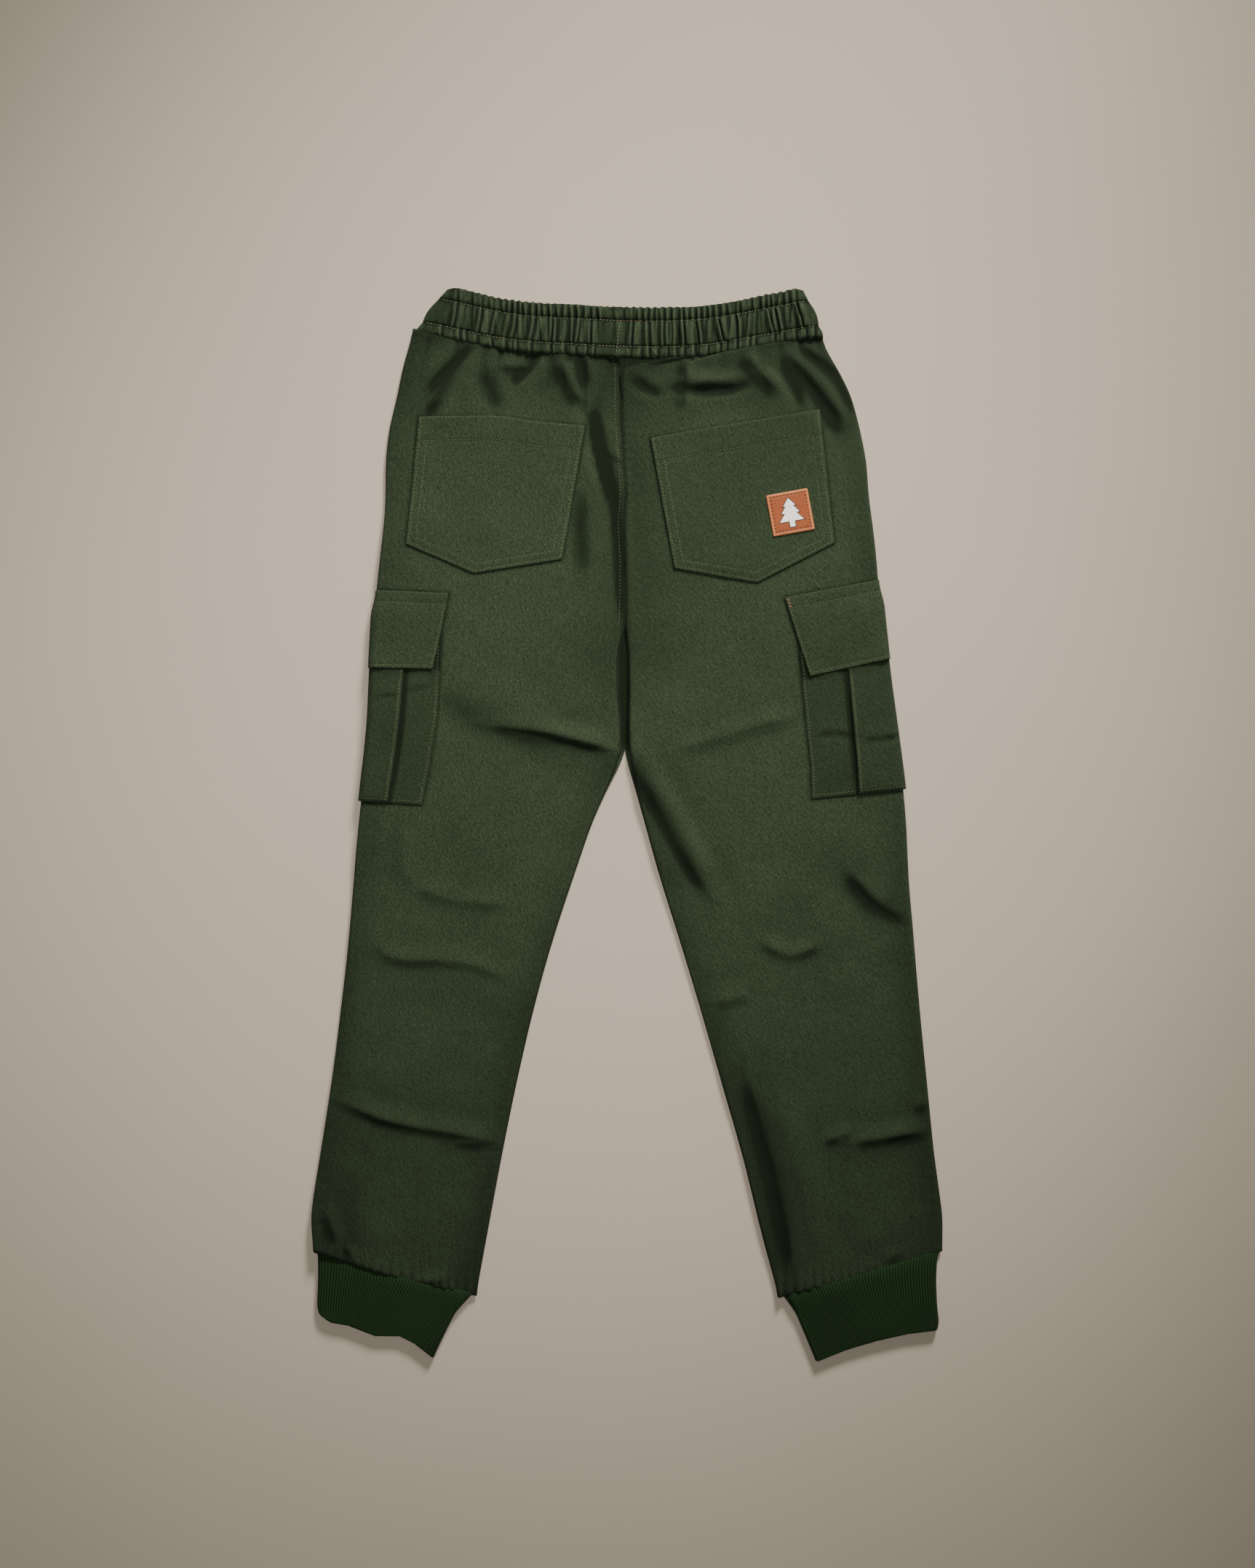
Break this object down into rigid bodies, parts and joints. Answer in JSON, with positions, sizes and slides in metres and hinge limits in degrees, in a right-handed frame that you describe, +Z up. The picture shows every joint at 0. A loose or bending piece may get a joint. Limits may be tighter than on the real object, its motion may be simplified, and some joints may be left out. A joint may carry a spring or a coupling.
{
  "type": "cargo pants",
  "caption": "Cargo trousers with gathered elastic waist, patch pockets, flapped side pockets and rib-knit cuffs, lying flat with the back side up.",
  "frame": {"origin": "middle of the garment's bounding box, on the surface that it lies on", "axes": "+X to the wearer's right, +Y from the cuffs to the waist, +Z up from the surface through the front to the back of the garment"},
  "size_m": [0.6098, 1.037, 0.0143],
  "materials": {
    "twill": "matt washed cotton twill",
    "rib_knit": "matt rib knit",
    "leather": "smooth tan leather"
  },
  "bodies": {
    "root": {"back_panel_left": "twill", "back_panel_right": "twill", "front_panel_left": "twill", "front_panel_right": "twill", "waistband_back": "twill", "waistband_front": "twill", "back_pocket_left": "twill", "back_pocket_right": "twill", "cargo_pocket_left": "twill", "cargo_pocket_right": "twill", "cargo_flap_left": "twill", "cargo_flap_right": "twill", "cuff_left": "rib_knit", "cuff_right": "rib_knit", "badge": "leather"}
  },
  "joints": []
}
